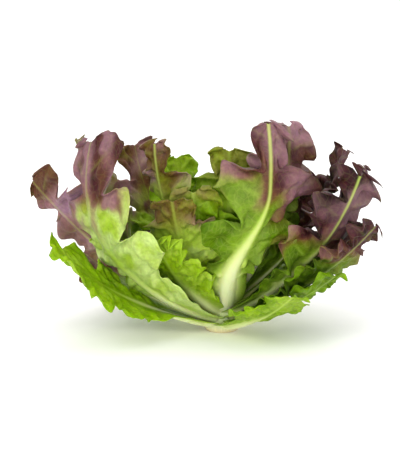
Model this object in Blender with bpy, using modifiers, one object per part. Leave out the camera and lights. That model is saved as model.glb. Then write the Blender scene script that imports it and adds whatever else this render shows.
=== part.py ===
"""Oak leaf lettuce: one cut head that stands on its flat cut stem.

The head's axis is Z, the cut face is at z = 0 and the front is -Y. Every large leaf lies on its own
bowl-shaped shell about that axis. The shells are nested in the order in which the leaves grew, so no
leaf crosses another. Lengths are in metres, and azimuths run from +X towards +Y in degrees.
"""

import math
from collections import namedtuple

import bmesh
import bpy
import numpy as np

# The stem, a short cone whose cut face is at the bottom
STEM_RADIUS = 0.0135
STEM_TOP_RADIUS = 0.0055
STEM_HEIGHT = 0.046
STEM_STEPS = 40
CUT_BEVEL = 0.0008

# The nested shells: age 0 is the oldest leaf, at the outside
SHELL_AGES = (0.0, 1.0, 2.0, 3.0, 4.0, 5.0, 6.0)
ROOT_ANGLES = (12.0, 20.0, 28.0, 38.0, 49.0, 60.0, 71.0)
TIP_ANGLES = (27.0, 39.0, 52.0, 63.0, 72.0, 80.0, 86.0)
SHELL_REACH = 0.19
RISE_POWER = 1.5
SIDE_DROOP = 4.0
FRONT_RISE = 6.0
FIRST_CENTRE = 0.0024
CENTRE_STEP = 0.0047
ROOT_GAP = 0.0004

# One leaf: how its grid is laid and how thick it is
LEAF_ROWS = 19
SIDE_COLUMNS = 3
BLADE_THICKNESS = 0.0007
ROOT_THICKNESS = 0.0034
TIP_RIB_THICKNESS = 0.0010
ROOT_RIB_WIDTH = 0.0050
TIP_RIB_WIDTH = 0.0010
FOOT_WIDTH = 0.0105
LEAF_LOBES = 4.75
LOBE_SWAY = 0.10
SWEEP = 0.42

# Each large leaf. `azimuth` is where its rib leaves the stem and `bend` how far the rib has turned
# sideways at the tip. `rise` is how far the tip stands above its shell, `neck` the share of the length
# that stays narrow, `tip` the share of the width that is lost towards the tip, `fold` how steeply both
# halves of the blade stand up from the rib, `twist` how far the blade is rolled about its rib, and
# `skew` the share by which one half is wider and the other narrower. Angles are in degrees.
FIELDS = "name azimuth bend age rise reach widest neck tip depth wave fold twist skew seed"
Leaf = namedtuple("Leaf", FIELDS)
LEAVES = (
    Leaf("leaf_low_left", 204, 2, 0.36, 0, 0.166, 0.047, 0.11, 0.46, 0.52, 0.0050, 0, -30, 0.15, 11),
    Leaf("leaf_low_right", 302, 0, 0.18, 0, 0.106, 0.034, 0.06, 0.46, 0.40, 0.0028, 0, 0, 0.0, 12),
    Leaf("leaf_low_far_right", 327, 0, 0.655, 0, 0.116, 0.036, 0.04, 0.46, 0.50, 0.0024, 0, 0, 0.0, 13),
    Leaf("leaf_low_back", 86, 0, 0.35, 0, 0.145, 0.046, 0.10, 0.46, 0.60, 0.0060, 0, 0, 0.0, 14),
    Leaf("leaf_low_back_left", 148, 0, 0.00, 0, 0.150, 0.046, 0.10, 0.46, 0.60, 0.0060, 0, 0, 0.0, 15),
    Leaf("leaf_low_back_right", 28, 0, 0.98, 0, 0.148, 0.046, 0.10, 0.46, 0.60, 0.0060, 0, 0, 0.0, 16),
    Leaf("leaf_left", 183, 0, 1.57, -6, 0.192, 0.044, 0.14, 0.50, 0.54, 0.0032, 0, 34, 0.28, 46),
    Leaf("leaf_right_low", 334, 2, 1.20, -2, 0.156, 0.040, 0.06, 0.46, 0.58, 0.0054, 0, -7, 0.0, 18),
    Leaf("leaf_front_left", 215, -9, 1.02, 14, 0.191, 0.051, 0.04, 0.30, 0.56, 0.0060, 0, 0, 0.18, 19),
    Leaf("leaf_pocket", 232, 0, 2.01, 0, 0.112, 0.034, 0.06, 0.46, 0.45, 0.0026, 0, 0, 0.0, 47),
    Leaf("leaf_front_right", 276, 20, 2.48, 2, 0.181, 0.054, 0.20, 0.72, 0.70, 0.0056, 0, 0, 0.0, 20),
    Leaf("leaf_right", 325, 3, 1.77, -2, 0.176, 0.046, 0.12, 0.44, 0.60, 0.0048, 4, -9, 0.10, 21),
    Leaf("leaf_right_middle", 349, 0, 2.30, -2, 0.168, 0.044, 0.14, 0.46, 0.60, 0.0040, 3, 0, 0.0, 36),
    Leaf("leaf_back_left_outer", 114, 0, 1.30, 0, 0.155, 0.048, 0.12, 0.46, 0.60, 0.0065, 0, 0, 0.0, 22),
    Leaf("leaf_back_right_outer", 60, 0, 1.90, 0, 0.158, 0.046, 0.12, 0.46, 0.60, 0.0065, 0, 0, 0.0, 23),
    Leaf("leaf_centre_front", 252, -6, 3.57, 0, 0.118, 0.040, 0.02, 0.46, 0.40, 0.0036, 0, 0, 0.0, 24),
    Leaf("leaf_cup", 236, 0, 2.99, 0, 0.122, 0.036, 0.08, 0.46, 0.35, 0.0015, 0, 0, 0.0, 25),
    Leaf("leaf_right_back", 8, 0, 2.85, 0, 0.166, 0.046, 0.14, 0.46, 0.60, 0.0048, 0, 0, 0.0, 26),
    Leaf("leaf_left_back", 165, 0, 2.26, 0, 0.186, 0.044, 0.16, 0.46, 0.60, 0.0065, 12, 6, 0.0, 27),
    Leaf("leaf_back_left_middle", 138, 0, 2.84, 0, 0.164, 0.046, 0.14, 0.46, 0.60, 0.0056, 0, 0, 0.0, 28),
    Leaf("leaf_back", 90, 0, 2.41, 0, 0.130, 0.044, 0.08, 0.46, 0.60, 0.0044, 0, 0, 0.0, 29),
    Leaf("leaf_right_inner", 325, 0, 3.84, 0, 0.164, 0.046, 0.12, 0.46, 0.60, 0.0058, 0, 2, 0.0, 30),
    Leaf("leaf_back_right_inner", 48, 0, 3.36, 0, 0.160, 0.046, 0.14, 0.46, 0.60, 0.0055, 0, 0, 0.0, 31),
    Leaf("leaf_left_inner", 202, 0, 4.30, 0, 0.146, 0.038, 0.12, 0.46, 0.58, 0.0050, 0, 0, 0.0, 32),
    Leaf("leaf_front_inner", 280, 0, 4.90, 0, 0.130, 0.034, 0.12, 0.46, 0.55, 0.0045, 0, 0, 0.0, 33),
    Leaf("leaf_back_inner", 122, 0, 3.75, 0, 0.136, 0.040, 0.12, 0.46, 0.60, 0.0050, 0, 0, 0.0, 44),
    Leaf("leaf_right_heart", 352, 0, 4.55, 0, 0.140, 0.036, 0.12, 0.46, 0.58, 0.0045, 0, 0, 0.0, 35),
)

# The heart: young leaves round a small core, fused into one node
HEART_LEAVES = 9
HEART_ROWS = 9
HEART_COLUMNS = 2
HEART_FIRST_AGE = 5.1
HEART_AGE_STEP = 0.15
HEART_CENTRE = 0.0385
HEART_CENTRE_STEP = 0.0012
HEART_ROOT_RADIUS = 0.0060
HEART_REACH = 0.082
HEART_HALF_WIDTH = 0.020
HEART_FOOT = 0.0045
HEART_LOBES = 2.25
HEART_BOTTOM = STEM_HEIGHT + 0.0006
HEART_CORE = (
    (0.0, 0.046),
    (0.0030, 0.043),
    (0.0062, 0.026),
    (0.0090, 0.010),
    (0.0086, 0.004),
    (0.0050, 0.0),
    (0.0, 0.0),
)
HEART_CORE_STEPS = 20
GOLDEN_ANGLE = 137.5

# Leaves that are green all over, besides the oldest ones
GREEN_LEAVES = ("leaf_centre_front", "leaf_cup", "leaf_pocket")

# Colours as linear red, green and blue
STEM_COLOUR = (0.62, 0.66, 0.38)
GREEN_LEAF_COLOUR = (0.24, 0.38, 0.04)
RED_LEAF_COLOUR = (0.17, 0.07, 0.08)
HEART_COLOUR = (0.30, 0.46, 0.08)


def clear_scene():
    for item in list(bpy.data.objects):
        bpy.data.objects.remove(item, do_unlink=True)


def new_collection(name):
    collection = bpy.data.collections.new(name)
    bpy.context.scene.collection.children.link(collection)
    return collection


def new_material(name, colour, roughness):
    material = bpy.data.materials.new(name)
    material.use_nodes = True
    shader = material.node_tree.nodes["Principled BSDF"]
    shader.inputs["Base Color"].default_value = (*colour, 1.0)
    shader.inputs["Roughness"].default_value = roughness
    return material


def smooth_step(low, high, value):
    share = np.clip((value - low) / (high - low), 0.0, 1.0)
    return share * share * (3.0 - 2.0 * share)


def stem_radius(height):
    """Radius of the stem's cone at this height."""
    return STEM_RADIUS - (STEM_RADIUS - STEM_TOP_RADIUS) * height / STEM_HEIGHT


def shell_centre(age):
    """Height on the axis that the shell of this age spreads from."""
    return FIRST_CENTRE + CENTRE_STEP * age


def shell_angle(age, reach, azimuth):
    """Angle above level, in radians, of the shell of this age at this distance from its centre."""
    root = np.interp(age, SHELL_AGES, ROOT_ANGLES)
    tip = np.interp(age, SHELL_AGES, TIP_ANGLES)
    share = reach / SHELL_REACH
    lean = SIDE_DROOP * np.cos(2.0 * azimuth) + FRONT_RISE * np.sin(azimuth)
    return np.radians(root + (tip - root) * share ** RISE_POWER - lean * share)


def root_reach(age):
    """Distance from the shell's centre at which a leaf of this age meets the stem."""
    angle = math.radians(float(np.interp(age, SHELL_AGES, ROOT_ANGLES)))
    taper = (STEM_RADIUS - STEM_TOP_RADIUS) / STEM_HEIGHT
    start = stem_radius(shell_centre(age)) + ROOT_GAP
    return start / (math.cos(angle) + taper * math.sin(angle))


def full_width(leaf, along, foot):
    """Half width of the leaf along its rib before the lobes are cut: foot, broad blade, round tip."""
    spread = smooth_step(leaf.neck, leaf.neck + 0.50, along)
    narrow = 1.0 - leaf.tip * smooth_step(0.58, 0.94, along)
    end = np.sqrt(np.clip(1.0 - np.clip((along - 0.86) / 0.144, 0.0, 1.0) ** 2, 0.0, 1.0))
    return (foot * (1.0 - spread) + leaf.widest * spread * narrow) * end + 0.0012


def lobe_share(along, lobes, depth, shift, sway):
    """Share of the full width that the rounded lobes of one side leave, least in the hollows between.

    The lobes follow one another at an uneven beat, which `sway` shifts.
    """
    turn = 2.0 * np.pi * (lobes * along + shift + LOBE_SWAY * np.sin(2.0 * np.pi * (1.4 * along + sway)))
    hollow = (0.5 - 0.5 * np.cos(turn)) ** 1.3
    fade = smooth_step(0.18, 0.50, along) * (1.0 - smooth_step(0.88, 0.99, along))
    return 1.0 - depth * hollow * fade


def leaf_grid(leaf, centre, start, foot, lobes, rows, columns):
    """Points of a leaf's inner face and its thickness at each, as arrays by row and column.

    A row crosses the leaf and a column follows the rib. Each point's reach and angle come from the
    shell of the leaf's age, and its offset from the rib is measured round the shell.
    """
    random = np.random.default_rng(leaf.seed)
    along = np.linspace(0.0, 1.0, rows + 1)
    rib_width = ROOT_RIB_WIDTH + (TIP_RIB_WIDTH - ROOT_RIB_WIDTH) * np.sqrt(along)
    rib_thickness = ROOT_THICKNESS + (TIP_RIB_THICKNESS - ROOT_THICKNESS) * along ** 0.6
    full = full_width(leaf, along, foot)
    first_shift = 0.375 + 0.25 * random.integers(0, 2)
    reaches = []
    offsets = []
    waves = []
    thicknesses = []
    for side in (-1, 1):
        first, second = random.uniform(0.0, 1.0, 2)
        shift = first_shift if side < 0 else 1.25 - first_shift
        width = full * (1.0 + side * leaf.skew) * lobe_share(along, lobes, leaf.depth, shift, first)
        edge = np.minimum(rib_width, 0.40 * width)
        for column in range(columns, 0, -1) if side < 0 else range(0, columns + 1):
            share = 0.0 if column == 0 else (column - 1) / (columns - 1)
            across = 0.0 if column == 0 else 1.0
            offset = across * (edge + (width - edge) * share)
            reaches.append(start + (leaf.reach - start) * along + SWEEP * offset)
            offsets.append(side * offset)
            ripple = np.sin(2.0 * np.pi * (2.6 * along + first))
            ripple = ripple + 0.6 * np.sin(2.0 * np.pi * (4.7 * along + second))
            waves.append(leaf.wave * share ** 1.5 * ripple / 1.6)
            rib = rib_thickness if column == 0 else BLADE_THICKNESS
            thicknesses.append(rib + 0.0 * along)
    reaches, offsets, waves, thicknesses = (
        np.array(lines).T for lines in (reaches, offsets, waves, thicknesses)
    )
    grow = smooth_step(0.10, 0.45, along)[:, None]
    mid = np.radians(leaf.azimuth + leaf.bend * smooth_step(0.25, 0.75, along))[:, None]
    radius = reaches * np.cos(shell_angle(leaf.age, reaches, mid))
    twist = math.radians(leaf.twist) * grow
    turned = mid + np.cos(twist) * offsets / np.maximum(radius, 0.011)
    lift = waves + np.sin(twist) * offsets
    lift = lift + math.tan(math.radians(leaf.fold)) * np.abs(offsets)
    rise = math.radians(leaf.rise) * (reaches / leaf.reach) ** 3
    angle = shell_angle(leaf.age, reaches, turned) + grow * lift / reaches + rise
    radius = reaches * np.cos(angle)
    height = centre + reaches * np.sin(angle)
    points = np.stack((radius * np.cos(turned), radius * np.sin(turned), height), axis=-1)
    return points, thicknesses


def grid_faces(rows, columns):
    """Triangles of a grid, split along the same diagonal everywhere, facing away from the axis."""
    faces = []
    for row in range(rows):
        for column in range(columns):
            corner = row * (columns + 1) + column
            above = corner + columns + 1
            faces.append((corner, corner + 1, above + 1))
            faces.append((corner, above + 1, above))
    return faces


def make_leaf(name, grid, thicknesses, collection, material):
    """A leaf from its inner face, thickened towards its back, where the rib stands out."""
    rows, columns = grid.shape[0] - 1, grid.shape[1] - 1
    mesh = bpy.data.meshes.new(name)
    mesh.from_pydata(grid.reshape(-1, 3).tolist(), [], grid_faces(rows, columns))
    mesh.materials.append(material)
    leaf = bpy.data.objects.new(name, mesh)
    collection.objects.link(leaf)
    thickest = float(thicknesses.max())
    group = leaf.vertex_groups.new(name="thickness")
    for index, value in enumerate(thicknesses.reshape(-1) / thickest):
        group.add([index], float(value), "REPLACE")
    solid = leaf.modifiers.new("Thickness", "SOLIDIFY")
    solid.thickness = thickest
    solid.offset = 1.0
    solid.vertex_group = group.name
    return leaf


def turned_solid(name, outline, steps, collection, material):
    """A solid turned about Z from its outer line, whose (radius, height) pairs run from the top down."""
    mesh = bpy.data.meshes.new(name)
    points = [(radius, 0.0, height) for radius, height in outline]
    mesh.from_pydata(points, [(i, i + 1) for i in range(len(points) - 1)], [])
    mesh.materials.append(material)
    turned = bpy.data.objects.new(name, mesh)
    collection.objects.link(turned)
    screw = turned.modifiers.new("Turned", "SCREW")
    screw.angle = 2.0 * math.pi
    screw.steps = steps
    screw.render_steps = steps
    screw.use_merge_vertices = True
    screw.merge_threshold = 0.00001
    return turned


def make_stem(collection, material):
    """The cut stem, a cone with its cut face at the bottom."""
    outline = [
        (0.0, STEM_HEIGHT),
        (STEM_TOP_RADIUS, STEM_HEIGHT),
        (stem_radius(0.5 * STEM_HEIGHT), 0.5 * STEM_HEIGHT),
        (stem_radius(CUT_BEVEL), CUT_BEVEL),
        (STEM_RADIUS - CUT_BEVEL, 0.0),
        (0.0, 0.0),
    ]
    return turned_solid("stem", outline, STEM_STEPS, collection, material)


def heart_leaf(index):
    """One young leaf, turned by the golden angle from the one before and a little shorter."""
    return Leaf(
        name=f"young_leaf_{index}",
        azimuth=GOLDEN_ANGLE * index,
        bend=0.0,
        age=HEART_FIRST_AGE + HEART_AGE_STEP * index,
        rise=0.0,
        reach=HEART_REACH * (1.0 - 0.035 * index),
        widest=HEART_HALF_WIDTH * (1.0 - 0.04 * index),
        neck=0.08,
        tip=0.46,
        depth=0.45,
        wave=0.0030,
        fold=0.0,
        twist=0.0,
        skew=0.0,
        seed=80 + index,
    )


def keep_largest_body(mesh):
    """Drops the loose scraps that fusing leaves, and fills any hollow that it sealed."""
    work = bmesh.new()
    work.from_mesh(mesh)
    work.faces.index_update()
    seen = set()
    bodies = []
    for first in work.faces:
        if first in seen:
            continue
        seen.add(first)
        body = [first]
        for face in body:
            shared = [edge.link_faces for edge in face.edges if len(edge.link_faces) == 2]
            near = {other for pair in shared for other in pair} - seen
            seen |= near
            body.extend(sorted(near, key=lambda other: other.index))
        bodies.append(body)
    largest = max(bodies, key=len)
    loose = [face for body in bodies if body is not largest for face in body]
    bmesh.ops.delete(work, geom=loose, context="FACES")
    work.to_mesh(mesh)
    work.free()


def make_heart(collection, helpers, material):
    """The young leaves and their core, fused by one Boolean union and then applied."""
    outline = [(radius, HEART_BOTTOM + height) for radius, height in HEART_CORE]
    heart = turned_solid("heart", outline, HEART_CORE_STEPS, collection, material)
    for index in range(HEART_LEAVES):
        leaf = heart_leaf(index)
        angle = math.radians(float(np.interp(leaf.age, SHELL_AGES, ROOT_ANGLES)))
        centre = HEART_CENTRE + HEART_CENTRE_STEP * index
        start = HEART_ROOT_RADIUS / math.cos(angle)
        grid, thicknesses = leaf_grid(
            leaf, centre, start, HEART_FOOT, HEART_LOBES, HEART_ROWS, HEART_COLUMNS
        )
        young_leaf = make_leaf(leaf.name, grid, thicknesses, helpers, material)
        young_leaf.display_type = "WIRE"
    fused = heart.modifiers.new("Fused", "BOOLEAN")
    fused.operation = "UNION"
    fused.operand_type = "COLLECTION"
    fused.collection = helpers
    fused.solver = "EXACT"
    bpy.context.view_layer.update()
    graph = bpy.context.evaluated_depsgraph_get()
    mesh = bpy.data.meshes.new_from_object(heart.evaluated_get(graph))
    keep_largest_body(mesh)
    heart.modifiers.clear()
    heart.data = mesh
    mesh.name = "heart"
    for helper in list(helpers.objects):
        bpy.data.objects.remove(helper, do_unlink=True)
    return heart


def main():
    clear_scene()
    lettuce = new_collection("oak_leaf_lettuce")
    helpers = new_collection("helpers")
    helpers.hide_render = True
    make_stem(lettuce, new_material("stem", STEM_COLOUR, 0.5))
    for leaf in LEAVES:
        green = leaf.age < 0.9 or leaf.name in GREEN_LEAVES
        colour = GREEN_LEAF_COLOUR if green else RED_LEAF_COLOUR
        centre = shell_centre(leaf.age)
        start = root_reach(leaf.age)
        grid, thicknesses = leaf_grid(
            leaf, centre, start, FOOT_WIDTH, LEAF_LOBES, LEAF_ROWS, SIDE_COLUMNS
        )
        make_leaf(leaf.name, grid, thicknesses, lettuce, new_material(leaf.name, colour, 0.45))
    make_heart(lettuce, helpers, new_material("heart", HEART_COLOUR, 0.45))


main()
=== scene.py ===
# %% [markdown]
# # A head of red oak leaf lettuce
#
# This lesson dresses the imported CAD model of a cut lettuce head. The CAD model already has every large
# leaf in its place, but with few faces. A subdivision modifier could round those faces, but it would add
# no lobe and no vein. So each leaf is worked out again with numpy, as a fine sheet on the same curved
# shell with rounded lobes, a frilled margin, side veins and a fleshy rib.

import math
from collections import namedtuple

import bpy
import numpy as np
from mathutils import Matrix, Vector


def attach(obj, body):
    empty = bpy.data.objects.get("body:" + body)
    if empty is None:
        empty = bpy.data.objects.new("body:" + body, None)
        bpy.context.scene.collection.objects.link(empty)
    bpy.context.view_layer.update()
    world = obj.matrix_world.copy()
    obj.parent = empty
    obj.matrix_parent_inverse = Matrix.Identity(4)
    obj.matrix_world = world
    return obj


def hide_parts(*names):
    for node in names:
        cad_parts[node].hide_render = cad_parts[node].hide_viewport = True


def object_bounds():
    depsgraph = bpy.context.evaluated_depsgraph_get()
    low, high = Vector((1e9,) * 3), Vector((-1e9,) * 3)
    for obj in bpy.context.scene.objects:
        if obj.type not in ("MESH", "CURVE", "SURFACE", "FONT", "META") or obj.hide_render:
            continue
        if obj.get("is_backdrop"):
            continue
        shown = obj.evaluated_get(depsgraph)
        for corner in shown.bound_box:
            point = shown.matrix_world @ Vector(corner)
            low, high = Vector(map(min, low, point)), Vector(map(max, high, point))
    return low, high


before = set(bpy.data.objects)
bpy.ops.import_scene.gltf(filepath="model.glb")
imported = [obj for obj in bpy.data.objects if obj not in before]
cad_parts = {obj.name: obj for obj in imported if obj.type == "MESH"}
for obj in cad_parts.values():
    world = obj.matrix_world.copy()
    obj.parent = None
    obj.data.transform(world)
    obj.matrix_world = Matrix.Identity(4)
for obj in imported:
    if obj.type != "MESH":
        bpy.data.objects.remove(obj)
CAD_LOW, CAD_HIGH = (np.array(corner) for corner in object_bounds())
print("CAD box in mm:", np.round(CAD_LOW * 1000.0, 1), np.round(CAD_HIGH * 1000.0, 1))

# %% [markdown]
# ## The shells
#
# A lettuce grows its leaves one after another round a short stem, and each lies against the next. They
# could be turned by hand until none cuts another, but every change would start that work again. One
# bowl-shaped shell for each age gives the nesting by itself. A shell is a function of the distance from
# its centre on the axis and of the azimuth, and it answers with the angle above level. Lengths are in
# metres, the axis is Z and the front is -Y.

# %% The stem's cone
STEM_RADIUS = 0.0135
STEM_TOP_RADIUS = 0.0055
STEM_HEIGHT = 0.046


def smooth_step(low, high, value):
    """0 below low, 1 above high, and an S-shaped curve between them."""
    share = np.clip((value - low) / (high - low), 0.0, 1.0)
    return share * share * (3.0 - 2.0 * share)


def stem_radius(height):
    """The stem is a cone: its radius falls evenly with the height."""
    return STEM_RADIUS - (STEM_RADIUS - STEM_TOP_RADIUS) * height / STEM_HEIGHT


def placed(radius, azimuth, height):
    """Points from their distance to the axis, their azimuth and their height."""
    return np.stack((radius * np.cos(azimuth), radius * np.sin(azimuth), height), -1)


print("radius of the stem half way up:", round(stem_radius(0.5 * STEM_HEIGHT) * 1000.0, 1), "mm")

# %% The shells that the leaves lie on
SHELL_AGES = (0.0, 1.0, 2.0, 3.0, 4.0, 5.0, 6.0)
ROOT_ANGLES = (12.0, 20.0, 28.0, 38.0, 49.0, 60.0, 71.0)
TIP_ANGLES = (27.0, 39.0, 52.0, 63.0, 72.0, 80.0, 86.0)
SHELL_REACH = 0.19
RISE_POWER = 1.5
SIDE_DROOP = 4.0
FRONT_RISE = 6.0
FIRST_CENTRE = 0.0024
CENTRE_STEP = 0.0047
ROOT_GAP = 0.0004


def shell_centre(age):
    """Height on the axis that the shell of this age spreads from."""
    return FIRST_CENTRE + CENTRE_STEP * age


def shell_angle(age, reach, azimuth):
    """Root angle, plus a rise with the distance to the power 1.5, less a lean that turns with azimuth."""
    root = np.interp(age, SHELL_AGES, ROOT_ANGLES)
    tip = np.interp(age, SHELL_AGES, TIP_ANGLES)
    share = reach / SHELL_REACH
    lean = SIDE_DROOP * np.cos(2.0 * azimuth) + FRONT_RISE * np.sin(azimuth)
    return np.radians(root + (tip - root) * share ** RISE_POWER - lean * share)


def root_angle(age):
    """Angle above level, in radians, at which a leaf of this age leaves the stem."""
    return math.radians(float(np.interp(age, SHELL_AGES, ROOT_ANGLES)))


def root_reach(age):
    """Distance from the shell's centre at which a leaf of this age meets the stem's cone."""
    angle = root_angle(age)
    taper = (STEM_RADIUS - STEM_TOP_RADIUS) / STEM_HEIGHT
    start = stem_radius(shell_centre(age)) + ROOT_GAP
    return start / (math.cos(angle) + taper * math.sin(angle))


print("shell centres from", shell_centre(0.0), "to", shell_centre(5.0), "m")

# %% [markdown]
# ## The leaves, one row for each
#
# Every large leaf of a head has its own place, size and age. Random values could scatter them, but no
# single leaf could then be put right. A table can be read and changed leaf by leaf. Its rows are those of
# the CAD part: azimuth, bend, rise, fold and twist in degrees, reach, half width and wave in metres, and
# neck, tip, depth and skew as shares. A second table says how each leaf looks: how red it is and from
# which share of its length, how light its green is, how strongly its margin frills and rolls back, how
# much it is greyed and lightened, partly by its waxy bloom and partly by a painted sheen, and how much of
# its rib's paleness is left at the tip. The large right leaf also has a slant, because its left half
# stays green for longer than its right half.

# %% Each large leaf
FIELDS = "name azimuth bend age rise reach widest neck tip depth wave fold twist skew seed"
Leaf = namedtuple("Leaf", FIELDS)
LEAVES = (
    Leaf("leaf_low_left", 204, 2, 0.36, 0, 0.166, 0.047, 0.11, 0.46, 0.52, 0.0050, 0, -30, 0.15, 11),
    Leaf("leaf_low_right", 302, 0, 0.18, 0, 0.106, 0.034, 0.06, 0.46, 0.40, 0.0028, 0, 0, 0.0, 12),
    Leaf("leaf_low_far_right", 327, 0, 0.655, 0, 0.116, 0.036, 0.04, 0.46, 0.50, 0.0024, 0, 0, 0.0, 13),
    Leaf("leaf_low_back", 86, 0, 0.35, 0, 0.145, 0.046, 0.10, 0.46, 0.60, 0.0060, 0, 0, 0.0, 14),
    Leaf("leaf_low_back_left", 148, 0, 0.00, 0, 0.150, 0.046, 0.10, 0.46, 0.60, 0.0060, 0, 0, 0.0, 15),
    Leaf("leaf_low_back_right", 28, 0, 0.98, 0, 0.148, 0.046, 0.10, 0.46, 0.60, 0.0060, 0, 0, 0.0, 16),
    Leaf("leaf_left", 183, 0, 1.57, -6, 0.192, 0.044, 0.14, 0.50, 0.54, 0.0032, 0, 34, 0.28, 46),
    Leaf("leaf_right_low", 334, 2, 1.20, -2, 0.156, 0.040, 0.06, 0.46, 0.58, 0.0054, 0, -7, 0.0, 18),
    Leaf("leaf_front_left", 215, -9, 1.02, 14, 0.191, 0.051, 0.04, 0.30, 0.56, 0.0060, 0, 0, 0.18, 19),
    Leaf("leaf_pocket", 232, 0, 2.01, 0, 0.112, 0.034, 0.06, 0.46, 0.45, 0.0026, 0, 0, 0.0, 47),
    Leaf("leaf_front_right", 276, 20, 2.48, 2, 0.181, 0.054, 0.20, 0.72, 0.70, 0.0056, 0, 0, 0.0, 20),
    Leaf("leaf_right", 325, 3, 1.77, -2, 0.176, 0.046, 0.12, 0.44, 0.60, 0.0048, 4, -9, 0.10, 21),
    Leaf("leaf_right_middle", 349, 0, 2.30, -2, 0.168, 0.044, 0.14, 0.46, 0.60, 0.0040, 3, 0, 0.0, 36),
    Leaf("leaf_back_left_outer", 114, 0, 1.30, 0, 0.155, 0.048, 0.12, 0.46, 0.60, 0.0065, 0, 0, 0.0, 22),
    Leaf("leaf_back_right_outer", 60, 0, 1.90, 0, 0.158, 0.046, 0.12, 0.46, 0.60, 0.0065, 0, 0, 0.0, 23),
    Leaf("leaf_centre_front", 252, -6, 3.57, 0, 0.118, 0.040, 0.02, 0.46, 0.40, 0.0036, 0, 0, 0.0, 24),
    Leaf("leaf_cup", 236, 0, 2.99, 0, 0.122, 0.036, 0.08, 0.46, 0.35, 0.0015, 0, 0, 0.0, 25),
    Leaf("leaf_right_back", 8, 0, 2.85, 0, 0.166, 0.046, 0.14, 0.46, 0.60, 0.0048, 0, 0, 0.0, 26),
    Leaf("leaf_left_back", 165, 0, 2.26, 0, 0.186, 0.044, 0.16, 0.46, 0.60, 0.0065, 12, 6, 0.0, 27),
    Leaf("leaf_back_left_middle", 138, 0, 2.84, 0, 0.164, 0.046, 0.14, 0.46, 0.60, 0.0056, 0, 0, 0.0, 28),
    Leaf("leaf_back", 90, 0, 2.41, 0, 0.130, 0.044, 0.08, 0.46, 0.60, 0.0044, 0, 0, 0.0, 29),
    Leaf("leaf_right_inner", 325, 0, 3.84, 0, 0.164, 0.046, 0.12, 0.46, 0.60, 0.0058, 0, 2, 0.0, 30),
    Leaf("leaf_back_right_inner", 48, 0, 3.36, 0, 0.160, 0.046, 0.14, 0.46, 0.60, 0.0055, 0, 0, 0.0, 31),
    Leaf("leaf_left_inner", 202, 0, 4.30, 0, 0.146, 0.038, 0.12, 0.46, 0.58, 0.0050, 0, 0, 0.0, 32),
    Leaf("leaf_front_inner", 280, 0, 4.90, 0, 0.130, 0.034, 0.12, 0.46, 0.55, 0.0045, 0, 0, 0.0, 33),
    Leaf("leaf_back_inner", 122, 0, 3.75, 0, 0.136, 0.040, 0.12, 0.46, 0.60, 0.0050, 0, 0, 0.0, 44),
    Leaf("leaf_right_heart", 352, 0, 4.55, 0, 0.140, 0.036, 0.12, 0.46, 0.58, 0.0045, 0, 0, 0.0, 35),
)
print(len(LEAVES), "large leaves")

# %% How each leaf looks
# bloom: how much of the real waxy bloom and of a painted sheen, lighter grey green and mauve laid into the
# colour, each leaf gets.
Look = namedtuple("Look", "red start tone frill curl bloom rib slant", defaults=(0.0,))
LOOKS = {
    "leaf_low_left": Look(0.00, 0.85, 0.70, 0.55, 0.35, 0.0, 0.5),
    "leaf_low_right": Look(0.05, 0.80, 0.60, 0.7, 0.3, 1.25, 0.8),
    "leaf_low_far_right": Look(0.03, 0.80, 0.46, 0.7, 0.3, 0.0, 0.5),
    "leaf_low_back": Look(0.45, 0.55, 0.50, 1.0, 0.4, 0.2, 0.4),
    "leaf_low_back_left": Look(0.60, 0.62, 0.48, 1.0, 0.4, 0.1, 0.4),
    "leaf_low_back_right": Look(0.55, 0.62, 0.35, 1.1, 0.5, 0.3, 0.4),
    "leaf_left": Look(0.60, 0.40, 0.62, 0.7, 0.5, 1.2, 0.3),
    "leaf_right_low": Look(0.90, 0.66, 0.34, 1.5, 0.6, 0.35, 0.5),
    "leaf_front_left": Look(0.80, 0.69, 0.98, 0.8, 0.4, 0.75, 0.3),
    "leaf_pocket": Look(0.05, 0.85, 0.78, 2.0, 0.8, 0.1, 0.6),
    "leaf_front_right": Look(0.80, 0.61, 0.36, 1.6, 0.2, 0.70, 0.9, 0.09),
    "leaf_right": Look(0.98, 0.52, 0.38, 1.5, 0.7, 0.65, 0.9),
    "leaf_back_left_outer": Look(0.80, 0.46, 0.50, 1.1, 0.5, 0.4, 0.4),
    "leaf_back_right_outer": Look(0.85, 0.46, 0.45, 1.1, 0.5, 0.4, 0.4),
    "leaf_centre_front": Look(0.35, 0.78, 0.60, 1.7, 0.5, 0.4, 0.7),
    "leaf_cup": Look(0.45, 0.66, 0.86, 1.7, 0.2, 0.9, 0.5),
    "leaf_right_middle": Look(0.86, 0.48, 0.38, 1.3, 0.6, 0.6, 0.4),
    "leaf_right_back": Look(0.88, 0.40, 0.38, 1.3, 0.6, 0.4, 0.3),
    "leaf_left_back": Look(0.42, 0.50, 0.74, 1.3, 0.6, 1.2, 0.9),
    "leaf_back_left_middle": Look(0.55, 0.54, 0.76, 1.3, 0.6, 1.35, 0.3),
    "leaf_back": Look(0.12, 0.80, 0.50, 1.1, 0.4, 0.2, 0.5),
    "leaf_right_inner": Look(0.70, 0.58, 0.40, 1.6, 0.7, 1.0, 0.3),
    "leaf_back_right_inner": Look(0.90, 0.38, 0.40, 1.3, 0.6, 0.3, 0.4),
    "leaf_left_inner": Look(0.48, 0.60, 0.72, 1.3, 0.6, 1.15, 0.9),
    "leaf_front_inner": Look(0.35, 0.66, 0.60, 1.6, 0.6, 0.4, 0.4),
    "leaf_back_inner": Look(0.15, 0.72, 0.68, 1.4, 0.6, 0.3, 0.3),
    "leaf_right_heart": Look(0.60, 0.60, 0.48, 1.5, 0.6, 0.4, 0.3),
}
print(len(LOOKS), "looks, the reddest that of", max(LOOKS, key=lambda name: LOOKS[name].red))

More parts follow.
